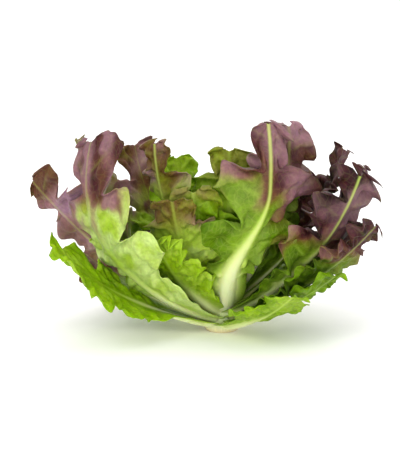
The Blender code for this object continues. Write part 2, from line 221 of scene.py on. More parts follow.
# %% [markdown]
# ## The outline of a leaf
#
# An oak leaf lettuce has deep rounded lobes on both sides of a rib. Each outline could be drawn as a
# curve and filled, but the faces would then be uneven and frill badly. Formulas give all the leaves an
# even grid. The half width is a product of plain curves along the rib: a narrow foot that opens into a
# broad blade, a rounded end, cosine hollows between the lobes, and three smaller scallops on each lobe.
# Every row of the sheet leans forward with its offset from the rib, which makes the lobes point towards
# the tip as the real ones do. The foot is wider here than in the CAD part, because real feet press
# together round the stem as sheaths.

# %% The outline
ROOT_RIB_WIDTH = 0.0050
TIP_RIB_WIDTH = 0.0010
FOOT_WIDTH = 0.0105
SHEATH = 0.0045
LEAF_LOBES = 4.75
SWEEP = 0.42
LOBE_BULGE = 0.55
SCALLOP_DEPTH = 0.10
LOBE_SWAY = 0.10
LEAST_HALF_WIDTH = 0.0012
ROUND_START = 0.86
ROUND_SPAN = 0.144
RIB_ROOM = 2.2
RIB_MOST = 0.62


def full_width(leaf, along, foot):
    """Half width before the lobes: foot to blade by an S curve, narrowed and rounded at the tip."""
    spread = smooth_step(leaf.neck, leaf.neck + 0.50, along)
    narrow = 1.0 - leaf.tip * smooth_step(0.58, 0.94, along)
    end = np.sqrt(np.clip(1.0 - np.clip((along - ROUND_START) / ROUND_SPAN, 0.0, 1.0) ** 2, 0.0, 1.0))
    sheath = SHEATH * foot / FOOT_WIDTH * (1.0 - smooth_step(0.10, 0.50, along))
    return (foot * (1.0 - spread) + leaf.widest * spread * narrow) * end + sheath + LEAST_HALF_WIDTH


def lobe_fade(along):
    """The lobes grow in above the stalk and fade out at the very tip."""
    return smooth_step(0.18, 0.50, along) * (1.0 - smooth_step(0.88, 0.99, along))


def lobe_turn(along, lobes, shift, sway):
    """The lobes' phase: an even count along the rib, plus a slow sine that makes their beat uneven."""
    return 2.0 * np.pi * (lobes * along + shift + LOBE_SWAY * np.sin(2.0 * np.pi * (1.4 * along + sway)))


def lobe_share(turn, depth, fade):
    """1 on a lobe and 1 less the depth in a hollow: a raised cosine of the turn, to the power 1.3."""
    hollow = (0.5 - 0.5 * np.cos(turn)) ** 1.3
    return 1.0 - depth * hollow * fade


def scallop_share(turn, phase, depth):
    """Three shallow scallops on each lobe, and finer notches at an uneven beat beside them."""
    scallops = 0.5 - 0.5 * np.cos(3.0 * turn + phase)
    notches = 0.5 + 0.5 * np.sin(7.3 * turn + 2.0 * phase)
    return 1.0 - depth * (0.8 * scallops + 0.2 * notches)


widths = full_width(LEAVES[0], np.linspace(0.0, 1.0, 5), FOOT_WIDTH)
print(LEAVES[0].name, "half widths in mm from foot to tip:", np.round(widths * 1000.0, 1))

# %% The flat grid of a leaf
Flat = namedtuple("Flat", "along left rib_part share turn fade offset across reach lobe_length phases")


def flat_leaf(leaf, look, start, foot, lobes, counts, detail):
    """The leaf laid flat: how far along the rib and across it each grid point is, with the lobes cut."""
    rows, rib_columns, blade_columns = counts
    random = np.random.default_rng(leaf.seed)
    first_shift = 0.375 + 0.25 * random.integers(0, 2)
    phases = random.uniform(0.0, 1.0, 4)
    along = np.linspace(0.0, 1.0, rows + 1)[:, None]
    number = np.arange(-rib_columns - blade_columns, rib_columns + blade_columns + 1)[None, :]
    left = number < 0
    side = np.where(left, -1.0, 1.0)
    rib_part = np.minimum(np.abs(number) / rib_columns, 1.0)
    share = np.maximum(np.abs(number) - rib_columns, 0) / blade_columns
    shift = np.where(left, first_shift, 1.25 - first_shift)
    turn = lobe_turn(along, lobes, shift, np.where(left, phases[0], phases[2]))
    fade = lobe_fade(along)
    scallop_phase = np.where(left, *detail.uniform(0.0, 6.0, 2))
    scallop_depth = SCALLOP_DEPTH * min(look.frill, 1.0) ** 2 * fade
    width = full_width(leaf, along, foot) * (1.0 + side * leaf.skew)
    width = width * lobe_share(turn, leaf.depth, fade) * scallop_share(turn, scallop_phase, scallop_depth)
    rib_width = ROOT_RIB_WIDTH + (TIP_RIB_WIDTH - ROOT_RIB_WIDTH) * np.sqrt(along)
    edge = np.minimum(RIB_ROOM * rib_width * foot / FOOT_WIDTH, RIB_MOST * width)
    offset = edge * rib_part + (width - edge) * share
    lobe_length = (leaf.reach - start) / lobes
    bulge = LOBE_BULGE * lobe_length / (2.0 * np.pi) * np.sin(turn) * share ** 2 * fade
    reach = start + (leaf.reach - start) * along + SWEEP * offset + bulge
    return Flat(along, left, rib_part, share, turn, fade, offset, side * offset, reach, lobe_length, phases)


first_row = LEAVES[0]
print(first_row.name, "has a lobe every", round(first_row.reach / LEAF_LOBES * 1000.0, 1), "mm of its rib")

# %% [markdown]
# ## The surface of a leaf
#
# The blade isn't a smooth sheet. It waves slowly from the rib outwards, frills at the margin because the
# margin grows longer than the middle, puffs up between the side veins, and is lightly crumpled all over.
# A cloth simulation could grow such frills, but it would also shift the leaf from its shell. Here each of
# them is a height above the shell, and they are added up before the points are placed.

# %% Crumple and frill
FRILL_HEIGHT = 0.0040


def crumple(across, length, random, smallest, largest, count):
    """A sum of sine waves in random directions, with wavelengths between the smallest and the largest."""
    wavelength = random.uniform(smallest, largest, count)
    heading = random.uniform(0.0, 2.0 * np.pi, count)
    phase = random.uniform(0.0, 2.0 * np.pi, count)
    total = 0.0
    for number in range(count):
        wave = 2.0 * np.pi / wavelength[number]
        line = across * np.cos(heading[number]) + length * np.sin(heading[number])
        total = total + np.sin(wave * line + phase[number])
    return total / math.sqrt(0.5 * count)


def frill(along, share, random):
    """Ripples of the margin: two uneven sine waves under a slow swell, to the power 2 outwards."""
    phases = random.uniform(0.0, 2.0 * np.pi, 5)
    beat = 2.0 * np.pi * along
    slow = 0.65 + 0.35 * np.sin(1.7 * beat + phases[0])
    first = np.sin((9.0 + 1.5 * share) * beat + phases[1] + 1.3 * np.sin(5.0 * along + phases[2]))
    second = 0.35 * np.sin(16.0 * beat + phases[3] + 2.0 * np.sin(7.0 * along + phases[4]))
    return slow * (first + second) * share ** 2


ripples = frill(np.linspace(0.0, 1.0, 200), 1.0, np.random.default_rng(0))
print("a frill of weight 1 reaches", round(float(np.abs(ripples).max()) * FRILL_HEIGHT * 1000.0, 1), "mm")

# %% Heights above the shell
PUFF_HEIGHT = 0.0018
CRUMPLE_HEIGHT = 0.0012
CRUMPLE_SMALLEST = 0.008
CRUMPLE_LARGEST = 0.022
ROLL_HEIGHT = 0.0060
ROLL_START = 0.62
ROLL_SPAN = 0.144
USUAL_REACH = 0.16


def leaf_lift(leaf, look, flat, twist, detail):
    """Slow waves, twist and fold as in the CAD part, then frill, puffs, crumple and a rolled margin."""
    along, share, left, across = flat.along, flat.share, flat.left, flat.across
    first = np.where(left, flat.phases[0], flat.phases[2])
    second = np.where(left, flat.phases[1], flat.phases[3])
    ripple = np.sin(2.0 * np.pi * (2.6 * along + first))
    ripple = ripple + 0.6 * np.sin(2.0 * np.pi * (4.7 * along + second))
    lift = leaf.wave * share ** 1.5 * ripple / 1.6
    lift = lift + np.sin(twist) * across
    lift = lift + math.tan(math.radians(leaf.fold)) * np.abs(across)
    scale = leaf.reach / USUAL_REACH
    frills = np.where(left, frill(along, share, detail), frill(along, share, detail))
    puff = flat.fade * np.abs(np.sin(flat.turn)) ** 0.7 * np.sqrt(share) * (1.0 - 0.6 * share)
    smallest, largest = CRUMPLE_SMALLEST * scale, CRUMPLE_LARGEST * scale
    small = crumple(across, leaf.reach * along, detail, smallest, largest, 9)
    roll = np.clip(share - ROLL_START, 0.0, 1.0) ** 2 / ROLL_SPAN
    roll = roll * (0.6 + 0.4 * np.sin(2.0 * np.pi * (1.3 * along + first)))
    lift = lift + FRILL_HEIGHT * scale * look.frill * frills
    lift = lift + PUFF_HEIGHT * scale * puff
    lift = lift + CRUMPLE_HEIGHT * scale * small * smooth_step(0.0, 0.25, share)
    return lift - ROLL_HEIGHT * scale * look.curl * roll


print("a roll of weight 1 sets the margin back by up to", ROLL_HEIGHT * 1000.0, "mm")

# %% [markdown]
# ## Ribs, veins and what the material reads
#
# The rib of a lettuce leaf is a fleshy half-round cord on the back. It is broadest at the foot, where it
# holds water, and side veins run from it into each lobe. The colour follows the same map: the rib and the
# foot stay pale, and the red pigment, which light brings out, gathers towards the tip and the margin. A
# picture could be painted for every leaf, but it would have to be fitted to each of them. So thickness
# and colour are both worked out from the grid, and the material only reads the results.

# %% Thickness and colour values
ROOT_THICKNESS = 0.0034
TIP_RIB_THICKNESS = 0.0010
BLADE_THICKNESS = 0.0007
VEIN_THICKNESS = 0.0007
FLESH = 0.0016
VEIN_WIDTH = 0.0013
FINE_VEIN_WIDTH = 0.0010


def side_veins(flat):
    """1 on the middle line of each lobe, falling off as a bell curve over 1.3 mm, and thinner outwards."""
    to_lobe = ((flat.turn / np.pi + 1.0) % 2.0 - 1.0) * 0.5 * flat.lobe_length
    to_hollow = ((flat.turn / np.pi) % 2.0 - 1.0) * 0.5 * flat.lobe_length
    main = np.exp(-(to_lobe / VEIN_WIDTH) ** 2)
    finer = 0.5 * np.exp(-(to_hollow / FINE_VEIN_WIDTH) ** 2)
    return (main + finer) * (1.0 - 0.85 * flat.share) * smooth_step(0.08, 0.35, flat.fade + 0.05)


def leaf_thickness(flat, vein, foot):
    """Blade, a half-round rib that thins towards the tip, and the side veins, thinned at the margin."""
    rib = ROOT_THICKNESS + (TIP_RIB_THICKNESS - ROOT_THICKNESS) * flat.along ** 0.6
    rib = rib + FLESH * foot / FOOT_WIDTH * (1.0 - smooth_step(0.02, 0.50, flat.along))
    ridge = np.cos(0.5 * np.pi * flat.rib_part) ** 0.8
    blade = BLADE_THICKNESS * (1.0 - 0.35 * smooth_step(0.8, 1.0, flat.share))
    return blade + (rib - BLADE_THICKNESS) * ridge + VEIN_THICKNESS * vein * (1.0 - ridge)


def leaf_blush(look, flat, patches):
    """Red share: an S curve up the leaf, in patches, earlier at the margin and on the slant's side."""
    reached = flat.along + 0.10 * flat.share + 0.06 * np.clip(patches, -0.3, 1.5)
    side = np.where(flat.left, -1.0, 1.0)
    reached = reached + look.slant * side * smooth_step(0.0, 0.4, flat.share)
    return look.red * smooth_step(look.start - 0.04, look.start + 0.30, reached)


def leaf_pale(along, offset, vein, foot, tip):
    """Paleness: a band on the rib, flat on top and narrower upwards, the foot and the side veins."""
    spread = foot * (0.14 + 1.15 * (1.0 - smooth_step(0.08, 0.74, along)))
    rib = np.exp(-np.abs(offset / spread) ** 3) * (1.0 - 0.15 * along)
    rib = rib * (1.0 - (1.0 - 0.7 * tip) * smooth_step(0.25, 0.80, along))
    base = 1.0 - smooth_step(0.04, 0.30, along + 0.08 * offset / foot)
    return np.clip(np.maximum(rib, base) + vein, 0.0, 1.0)


print("rib thickness at the foot:", round((ROOT_THICKNESS + FLESH) * 1000.0, 1), "mm")

# %% [markdown]
# ## One leaf as two grids
#
# A leaf is smooth inside, and its rib stands out on the back. A Solidify modifier could thicken a single
# sheet, but the rib would then need a weight at every point, so the second face is worked out too. The
# inner face is the flat grid wrapped on the leaf's shell: a row crosses the leaf and a column follows the
# rib. The back is the same grid moved out along its normals by the local thickness, so the rib becomes a
# cord that narrows to the tip.

# %% One leaf
Sheet = namedtuple("Sheet", "inner back uv blush inner_pale back_pale tone bloom")
LEAST_RADIUS = 0.011
RED_PATCH = (0.015, 0.045)
# The waxy bloom and its painted sheen come in patches 25 to 70 mm wide.
WAX_AND_SHEEN_PATCH = (0.025, 0.070)
VEIN_PALENESS = 0.30
INNER_RIB_NARROWER = 1.9
INNER_RIB_SHARE = 0.8


def grid_normals(points):
    """Cross product of the steps along the rows and along the columns, made one long."""
    down = np.gradient(points, axis=0)
    across = np.gradient(points, axis=1)
    normals = np.cross(across, down)
    return normals / np.maximum(np.linalg.norm(normals, axis=-1, keepdims=True), 1e-12)


def on_shell(leaf, look, flat, centre, detail):
    """The flat leaf wrapped on its shell and lifted off it, and at each point the direction outwards."""
    grow = smooth_step(0.10, 0.45, flat.along)
    twist = math.radians(leaf.twist) * grow
    lift = leaf_lift(leaf, look, flat, twist, detail)
    mid = np.radians(leaf.azimuth + leaf.bend * smooth_step(0.25, 0.75, flat.along))
    radius = flat.reach * np.cos(shell_angle(leaf.age, flat.reach, mid))
    azimuth = mid + np.cos(twist) * flat.across / np.maximum(radius, LEAST_RADIUS)
    rise = math.radians(leaf.rise) * (flat.reach / leaf.reach) ** 3
    angle = shell_angle(leaf.age, flat.reach, azimuth) + grow * lift / flat.reach + rise
    inner = placed(flat.reach * np.cos(angle), azimuth, centre + flat.reach * np.sin(angle))
    return inner, placed(np.sin(angle), azimuth, -np.cos(angle))


def leaf_sheet(leaf, look, centre, start, foot, lobes, counts):
    """A leaf's two faces and what its material reads, all worked out for the whole grid at once."""
    detail = np.random.default_rng(1000 + leaf.seed)
    flat = flat_leaf(leaf, look, start, foot, lobes, counts, detail)
    inner, outwards = on_shell(leaf, look, flat, centre, detail)
    normals = grid_normals(inner)
    if np.sum(normals * outwards) < 0.0:
        normals = -normals
    vein = side_veins(flat)
    back = inner + normals * leaf_thickness(flat, vein, foot)[..., None]
    uv = np.stack((flat.across, flat.reach), -1)
    patches = crumple(flat.across, flat.reach, detail, *RED_PATCH, 7)
    blush = leaf_blush(look, flat, patches)
    vein_pale = VEIN_PALENESS * vein * (1.0 - 0.7 * blush) * smooth_step(0.0, 0.15, flat.share)
    inner_offset = INNER_RIB_NARROWER * flat.offset
    inner_pale = leaf_pale(flat.along, inner_offset, vein_pale, foot, INNER_RIB_SHARE * look.rib)
    back_pale = leaf_pale(flat.along, flat.offset, vein_pale, foot, look.rib)
    # The greying wax bloom and a painted sheen, lighter mauve and grey green laid into the colour, in soft
    # patches on each leaf.
    wax = crumple(flat.across, flat.reach, detail, *WAX_AND_SHEEN_PATCH, 5)
    bloom = look.bloom * np.clip(0.55 + 0.45 * wax, 0.0, 1.0)
    return Sheet(inner, back, uv, blush, inner_pale, back_pale, look.tone + 0.05 * patches, bloom)


coarse = leaf_sheet(first_row, LOOKS[first_row.name], 0.0, 0.02, FOOT_WIDTH, LEAF_LOBES, (24, 2, 6))
coarse_size = np.ptp(coarse.inner.reshape(-1, 3), axis=0) * 1000.0
print("a coarse", first_row.name, "measures", np.round(coarse_size, 1), "mm")

# %% [markdown]
# ## From grids to a closed skin
#
# Even a thin leaf is solid out to its margin. Two loose sheets would look the same from far off, but the
# exported mesh would have open edges. So a rim joins the two grids, and every leaf is one closed body that
# faces outwards. All points go into the mesh in one call, which is much faster than adding them one by
# one, and each value that a material reads is kept as an attribute.

# %% Points and faces of a closed skin
# The inner face gets 0.8 of the back's wax bloom and painted sheen, which lightens it.
INNER_WAX_AND_SHEEN = 0.8


def sheet_arrays(sheet):
    """Points, faces, UVs and values of one closed sheet: inner grid, back grid and the rim between them."""
    rows, columns = sheet.inner.shape[:2]
    count = rows * columns
    index = np.arange(count).reshape(rows, columns)
    corners = (index[:-1, :-1], index[:-1, 1:], index[1:, 1:], index[1:, :-1])
    outer = np.stack(corners, -1).reshape(-1, 4)
    loop = np.concatenate((index[0, :-1], index[:-1, -1], index[-1, :0:-1], index[:0:-1, 0]))
    after = np.roll(loop, -1)
    rim = np.stack((after + count, loop + count, loop, after), -1)
    faces = np.concatenate((outer[:, ::-1], outer + count, rim))
    points = np.concatenate((sheet.inner.reshape(-1, 3), sheet.back.reshape(-1, 3)))
    uv = np.tile(sheet.uv.reshape(-1, 2), (2, 1))
    values = {
        "blush": np.tile(sheet.blush.ravel(), 2),
        "pale": np.concatenate((sheet.inner_pale.ravel(), sheet.back_pale.ravel())),
        "tone": np.tile(sheet.tone.ravel(), 2),
        "bloom": np.concatenate((INNER_WAX_AND_SHEEN * sheet.bloom.ravel(), sheet.bloom.ravel())),
    }
    return points, faces, uv, values


def joined(parts):
    """Puts several bodies into one set of arrays, with each one's faces counted on from the last."""
    starts = np.cumsum([0] + [len(part[0]) for part in parts[:-1]])
    points = np.concatenate([part[0] for part in parts])
    faces = np.concatenate([part[1] + start for part, start in zip(parts, starts)])
    uv = np.concatenate([part[2] for part in parts])
    values = {name: np.concatenate([part[3][name] for part in parts]) for name in parts[0][3]}
    return points, faces, uv, values


print("a closed copy of that coarse leaf has", len(sheet_arrays(coarse)[1]), "faces")

# %% Skins that stand for CAD nodes
EASE_ROOM = 0.009
BOX_GAP = 0.0003


def kept_inside(points):
    """Eases each coordinate in the last 9 mm before the CAD box by a tanh curve, so that none leaves it."""
    high = CAD_HIGH - BOX_GAP - EASE_ROOM
    low = CAD_LOW + BOX_GAP + EASE_ROOM
    eased = np.where(points > high, high + EASE_ROOM * np.tanh((points - high) / EASE_ROOM), points)
    return np.where(eased < low, low - EASE_ROOM * np.tanh((low - eased) / EASE_ROOM), eased)


def new_skin(name, arrays, material, node):
    """Makes the mesh object, gives it its UVs, values and material, and lets it stand for its CAD node."""
    points, faces, uv, values = arrays
    mesh = bpy.data.meshes.new(name)
    mesh.from_pydata(points.tolist(), [], faces.tolist())
    mesh.polygons.foreach_set("use_smooth", np.ones(len(faces), dtype=bool))
    layer = mesh.uv_layers.new(name="across_and_along")
    layer.data.foreach_set("uv", uv[faces.ravel()].astype(np.float32).ravel())
    for value, numbers in values.items():
        attribute = mesh.attributes.new(value, "FLOAT", "POINT")
        attribute.data.foreach_set("value", numbers.astype(np.float32))
    mesh.materials.append(material)
    skin = bpy.data.objects.new(name, mesh)
    bpy.context.scene.collection.objects.link(skin)
    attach(skin, "root")
    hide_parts(node)
    return skin


print("room kept to the sides of the CAD box:", BOX_GAP * 1000.0, "mm")

# %% [markdown]
# ## Colours and a helper for nodes
#
# Colours are given as the hex values a painter would pick for the real leaf. They are in sRGB, and
# Blender's shaders want linear light, so one function turns them. A node could be added, set and linked
# in a line for each socket. One function that does all of it keeps a material short enough to read.

# %% Colours and nodes
def linear(code):
    """An sRGB hex value as linear red, green, blue and alpha, by the standard's two-part curve."""
    parts = [int(code[place:place + 2], 16) / 255.0 for place in (1, 3, 5)]
    return (*[part / 12.92 if part <= 0.04045 else ((part + 0.055) / 1.055) ** 2.4 for part in parts], 1.0)


def add_node(tree, kind, properties=None, sockets=None, stops=None):
    """Adds a node, sets its properties, fills or links its sockets and lays the stops of its ramp."""
    node = tree.nodes.new(kind)
    for name, value in (properties or {}).items():
        setattr(node, name, value)
    for name, value in (sockets or {}).items():
        if isinstance(value, bpy.types.NodeSocket):
            tree.links.new(value, node.inputs[name])
        else:
            node.inputs[name].default_value = value
    if stops:
        elements = node.color_ramp.elements
        while len(elements) < len(stops):
            elements.new(0.5)
        for element, (place, code) in zip(elements, stops):
            element.position = place
            element.color = linear(code)
    return node


def new_material(name):
    """An empty node material, and the tree to build it in."""
    material = bpy.data.materials.new(name)
    material.use_nodes = True
    material.node_tree.nodes.clear()
    return material, material.node_tree


print("half grey in sRGB is", round(linear("#808080")[0], 3), "in linear light")

# %% [markdown]
# ## The blade of a lettuce leaf
#
# A leaf blade is a thin wet tissue under a waxy skin. The sun turns its outer parts from green through
# olive to a brownish purple, in soft patches. The back looks paler and greyer than the inner face,
# because air between the cells and a bloom of wax scatter the light. On top of that a painted sheen,
# lighter grey green on green and mauve on red, is laid into the colour of both faces, a little weaker on
# the inner one. Some light also comes through, which a subsurface weight gives more simply than a
# translucent second shader. A net of fine veins, about 4 mm apart, shows as lines. A mottle of cells
# would be far finer than a pixel, so it is drawn 3 mm coarse. The young leaves are wetter, so they are
# glossier.

# %% Green and red of the blade
GREEN_STOPS = (
    (0.00, "#2a3800"),
    (0.30, "#4e6a00"),
    (0.55, "#719300"),
    (0.72, "#86a50c"),
    (0.88, "#9bb43e"),
    (1.00, "#b2c47a"),
)
RED_STOPS = (
    (0.00, "#6f7414"),
    (0.25, "#6e5a1c"),
    (0.50, "#62402a"),
    (0.75, "#4a2327"),
    (1.00, "#260f14"),
)


def blade_green(tree, tone, patch):
    """The green of the blade: the leaf's tone, moved up and down by soft patches 14 mm wide."""
    shift = add_node(
        tree, "ShaderNodeMath", {"operation": "MULTIPLY_ADD"},
        {0: patch.outputs["Fac"], 1: 0.34, 2: tone.outputs["Fac"]},
    )
    level = add_node(tree, "ShaderNodeMath", {"operation": "SUBTRACT"}, {0: shift.outputs[0], 1: 0.17})
    return add_node(tree, "ShaderNodeValToRGB", None, {"Fac": level.outputs[0]}, GREEN_STOPS)


def blade_red(tree, blush, patch):
    """The red of the blade by its blush in patches, and how far green has turned to it."""
    uneven = add_node(
        tree, "ShaderNodeMath", {"operation": "MULTIPLY_ADD"}, {0: patch.outputs["Fac"], 1: 0.9, 2: 0.52}
    )
    share = add_node(
        tree, "ShaderNodeMath", {"operation": "MULTIPLY"}, {0: blush.outputs["Fac"], 1: uneven.outputs[0]}
    )
    red = add_node(tree, "ShaderNodeValToRGB", None, {"Fac": share.outputs[0]}, RED_STOPS)
    turned = add_node(
        tree, "ShaderNodeMapRange", {"interpolation_type": "SMOOTHSTEP"},
        {"Value": share.outputs[0], "From Min": 0.03, "From Max": 0.55},
    )
    return red, turned


print(len(GREEN_STOPS), "stops of green and", len(RED_STOPS), "of red")

# %% Wax bloom, painted sheen and fine veins
# Colours of the wax bloom with its painted sheen: mauve on red, grey green on green.
MAUVE_WAX_AND_SHEEN_STOPS = ((0.0, "#a27880"), (0.5, "#a07c86"), (0.85, "#655080"))
GREEN_WAX_AND_SHEEN = "#a9ba60"
FINE_VEIN = "#a8ad62"


def with_wax_and_sheen(tree, blade, turned, bloom):
    """Lays wax bloom and painted sheen over the blade: lighter grey green on green, mauve, deeper, on red.
    """
    half = add_node(tree, "ShaderNodeMath", {"operation": "MULTIPLY"}, {0: bloom.outputs["Fac"], 1: 0.5})
    mauve = add_node(tree, "ShaderNodeValToRGB", None, {"Fac": half.outputs[0]}, MAUVE_WAX_AND_SHEEN_STOPS)
    colour = add_node(
        tree, "ShaderNodeMix", {"data_type": "RGBA"},
        {0: turned.outputs[0], 6: linear(GREEN_WAX_AND_SHEEN), 7: mauve.outputs[0]},
    )
    depth = add_node(
        tree, "ShaderNodeMath", {"operation": "MULTIPLY_ADD"}, {0: turned.outputs[0], 1: 0.44, 2: 0.26}
    )
    share = add_node(
        tree, "ShaderNodeMath", {"operation": "MULTIPLY"}, {0: depth.outputs[0], 1: bloom.outputs["Fac"]}
    )
    return add_node(
        tree, "ShaderNodeMix", {"data_type": "RGBA"},
        {0: share.outputs[0], 6: blade.outputs[2], 7: colour.outputs[2]},
    )


def veined(tree, blade, turned, lines):
    """Draws the net of fine veins a little lighter than the blade, and fainter where it is red."""
    depth = add_node(
        tree, "ShaderNodeMath", {"operation": "MULTIPLY_ADD"}, {0: turned.outputs[0], 1: -0.07, 2: 0.13}
    )
    share = add_node(
        tree, "ShaderNodeMath", {"operation": "MULTIPLY"}, {0: lines.outputs[0], 1: depth.outputs[0]}
    )
    return add_node(
        tree, "ShaderNodeMix", {"data_type": "RGBA"},
        {0: share.outputs[0], 6: blade.outputs[0], 7: linear(FINE_VEIN)},
    )


# The colours of the wax bloom and painted sheen.
print("the wax is", GREEN_WAX_AND_SHEEN, "on green and from", MAUVE_WAX_AND_SHEEN_STOPS[0][1], "on red")

# %% All colours of a leaf
RIB_STOPS = ((0.0, "#9fbc40"), (0.5, "#c0d46c"), (0.8, "#dbe49c"), (1.0, "#eff2c8"))
PATCH = 0.014


def leaf_colour(tree, place, mottle, lines):
    """Green by tone, red by blush, wax bloom and painted sheen, the mottle, fine veins, and the pale rib on
    top.
    """
    blush = add_node(tree, "ShaderNodeAttribute", {"attribute_name": "blush"})
    pale = add_node(tree, "ShaderNodeAttribute", {"attribute_name": "pale"})
    tone = add_node(tree, "ShaderNodeAttribute", {"attribute_name": "tone"})
    bloom = add_node(tree, "ShaderNodeAttribute", {"attribute_name": "bloom"})
    patch = add_node(
        tree, "ShaderNodeTexNoise", None,
        {"Vector": place.outputs["Object"], "Scale": 1.0 / PATCH, "Detail": 4.0, "Roughness": 0.6},
    )
    green = blade_green(tree, tone, patch)
    red, turned = blade_red(tree, blush, patch)
    blade = add_node(
        tree, "ShaderNodeMix", {"data_type": "RGBA"},
        {0: turned.outputs[0], 6: green.outputs[0], 7: red.outputs[0]},
    )
    # The wax bloom and a painted sheen lighten and grey the blade.
    sheened_blade = with_wax_and_sheen(tree, blade, turned, bloom)
    light = add_node(
        tree, "ShaderNodeMapRange", None,
        {"Value": mottle.outputs["Fac"], "From Min": 0.3, "From Max": 0.7, "To Min": 0.82, "To Max": 1.14},
    )
    mottled = add_node(
        tree, "ShaderNodeVectorMath", {"operation": "SCALE"},
        {0: sheened_blade.outputs[2], "Scale": light.outputs[0]},
    )
    netted = veined(tree, mottled, turned, lines)
    rib = add_node(tree, "ShaderNodeValToRGB", None, {"Fac": pale.outputs["Fac"]}, RIB_STOPS)
    return add_node(
        tree, "ShaderNodeMix", {"data_type": "RGBA"},
        {0: pale.outputs["Fac"], 6: netted.outputs[2], 7: rib.outputs[0]},
    )


print(len(RIB_STOPS), "stops from the blade beside a rib to its foot")

# %% Leaf material
VEIN_SPACING = 0.0042
MOTTLE = 0.0030


def leaf_material(name, roughness):
    """Waxy leaf tissue: its colours, a relief of veins and mottle, an uneven gloss and light let through."""
    material, tree = new_material(name)
    place = add_node(tree, "ShaderNodeTexCoord")
    mottle = add_node(
        tree, "ShaderNodeTexNoise", None,
        {"Vector": place.outputs["Object"], "Scale": 1.0 / MOTTLE, "Detail": 3.0, "Roughness": 0.55},
    )
    net = add_node(
        tree, "ShaderNodeTexVoronoi", {"feature": "DISTANCE_TO_EDGE"},
        {"Vector": place.outputs["UV"], "Scale": 1.0 / VEIN_SPACING},
    )
    lines = add_node(
        tree, "ShaderNodeMapRange", {"interpolation_type": "SMOOTHSTEP"},
        {"Value": net.outputs["Distance"], "From Min": 0.0, "From Max": 0.11, "To Min": 1.0, "To Max": 0.0},
    )
    colour = leaf_colour(tree, place, mottle, lines)
    relief = add_node(
        tree, "ShaderNodeMath", {"operation": "MULTIPLY_ADD"},
        {0: lines.outputs[0], 1: 0.5, 2: mottle.outputs["Fac"]},
    )
    bump = add_node(
        tree, "ShaderNodeBump", None, {"Height": relief.outputs[0], "Strength": 0.35, "Distance": 0.0006}
    )
    gloss = add_node(
        tree, "ShaderNodeMapRange", None,
        {"Value": mottle.outputs["Fac"], "To Min": roughness - 0.10, "To Max": roughness + 0.12},
    )
    shader = add_node(
        tree, "ShaderNodeBsdfPrincipled", None,
        {
            "Base Color": colour.outputs[2],
            "Roughness": gloss.outputs[0],
            "Normal": bump.outputs[0],
            "IOR": 1.42,
            "Specular IOR Level": 0.22,
            "Subsurface Weight": 0.30,
            "Subsurface Radius": (0.6, 1.0, 0.2),
            "Subsurface Scale": 0.002,
        },
    )
    add_node(tree, "ShaderNodeOutputMaterial", None, {"Surface": shader.outputs[0]})
    return material


waxy_blade = leaf_material("waxy_lettuce_blade", 0.50)
young_blade = leaf_material("young_lettuce_blade", 0.44)
print("leaf materials:", waxy_blade.name, young_blade.name)

# %% Make the large leaves
LEAF_ROWS = 120
RIB_COLUMNS = 6
BLADE_COLUMNS = 20
ROOT_SINK = 0.002

for leaf in LEAVES:
    start = root_reach(leaf.age) - ROOT_SINK
    counts = (LEAF_ROWS, RIB_COLUMNS, BLADE_COLUMNS)
    sheet = leaf_sheet(leaf, LOOKS[leaf.name], shell_centre(leaf.age), start, FOOT_WIDTH, LEAF_LOBES, counts)
    points, faces, uv, values = sheet_arrays(sheet)
    new_skin(leaf.name + "_blade", (kept_inside(points), faces, uv, values), waxy_blade, leaf.name)
    print(leaf.name, len(faces), "faces")

# %% [markdown]
# ## The heart
#
# The youngest leaves stand round the growing tip. They are the same shape as the large ones but short,
# soft and very frilled. A ball of crumpled faces could stand for them, but it would show no leaf edges
# from above. So they are nine small leaves, each turned on by the golden angle, 137.5 degrees, as a
# growing tip places them. Seven leaflets that lean in over the tip close the middle.

# %% The heart's leaves
HEART_LEAVES = 9
HEART_FIRST_AGE = 5.1
HEART_AGE_STEP = 0.15
HEART_CENTRE = 0.0385
HEART_CENTRE_STEP = 0.0012
HEART_ROOT_RADIUS = 0.0060
HEART_REACH = 0.082
HEART_HALF_WIDTH = 0.020
HEART_FOOT = 0.0045
HEART_LOBES = 2.25
HEART_COUNTS = (64, 3, 13)
HEART_LOOK = Look(0.30, 0.60, 0.62, 2.0, 0.8, 0.3, 0.5)
GOLDEN_ANGLE = 137.5


def heart_leaf(index):
    """One young leaf, turned by the golden angle from the one before and a little shorter."""
    return Leaf(
        name=f"young_leaf_{index}",
        azimuth=GOLDEN_ANGLE * index,
        bend=0.0,
        age=HEART_FIRST_AGE + HEART_AGE_STEP * index,
        rise=0.0,
        reach=HEART_REACH * (1.0 - 0.035 * index),
        widest=HEART_HALF_WIDTH * (1.0 - 0.04 * index),
        neck=0.08,
        tip=0.46,
        depth=0.45,
        wave=0.0030,
        fold=0.0,
        twist=0.0,
        skew=0.0,
        seed=80 + index,
    )


def heart_sheet(index):
    """The fine sheet of one young leaf, rooted on the core as in the CAD part."""
    leaf = heart_leaf(index)
    centre = HEART_CENTRE + HEART_CENTRE_STEP * index
    start = HEART_ROOT_RADIUS / math.cos(root_angle(leaf.age))
    return leaf_sheet(leaf, HEART_LOOK, centre, start, HEART_FOOT, HEART_LOBES, HEART_COUNTS)


last_reach = heart_leaf(HEART_LEAVES - 1).reach
print("young leaves reach", HEART_REACH * 1000.0, "to", round(last_reach * 1000.0, 1), "mm")

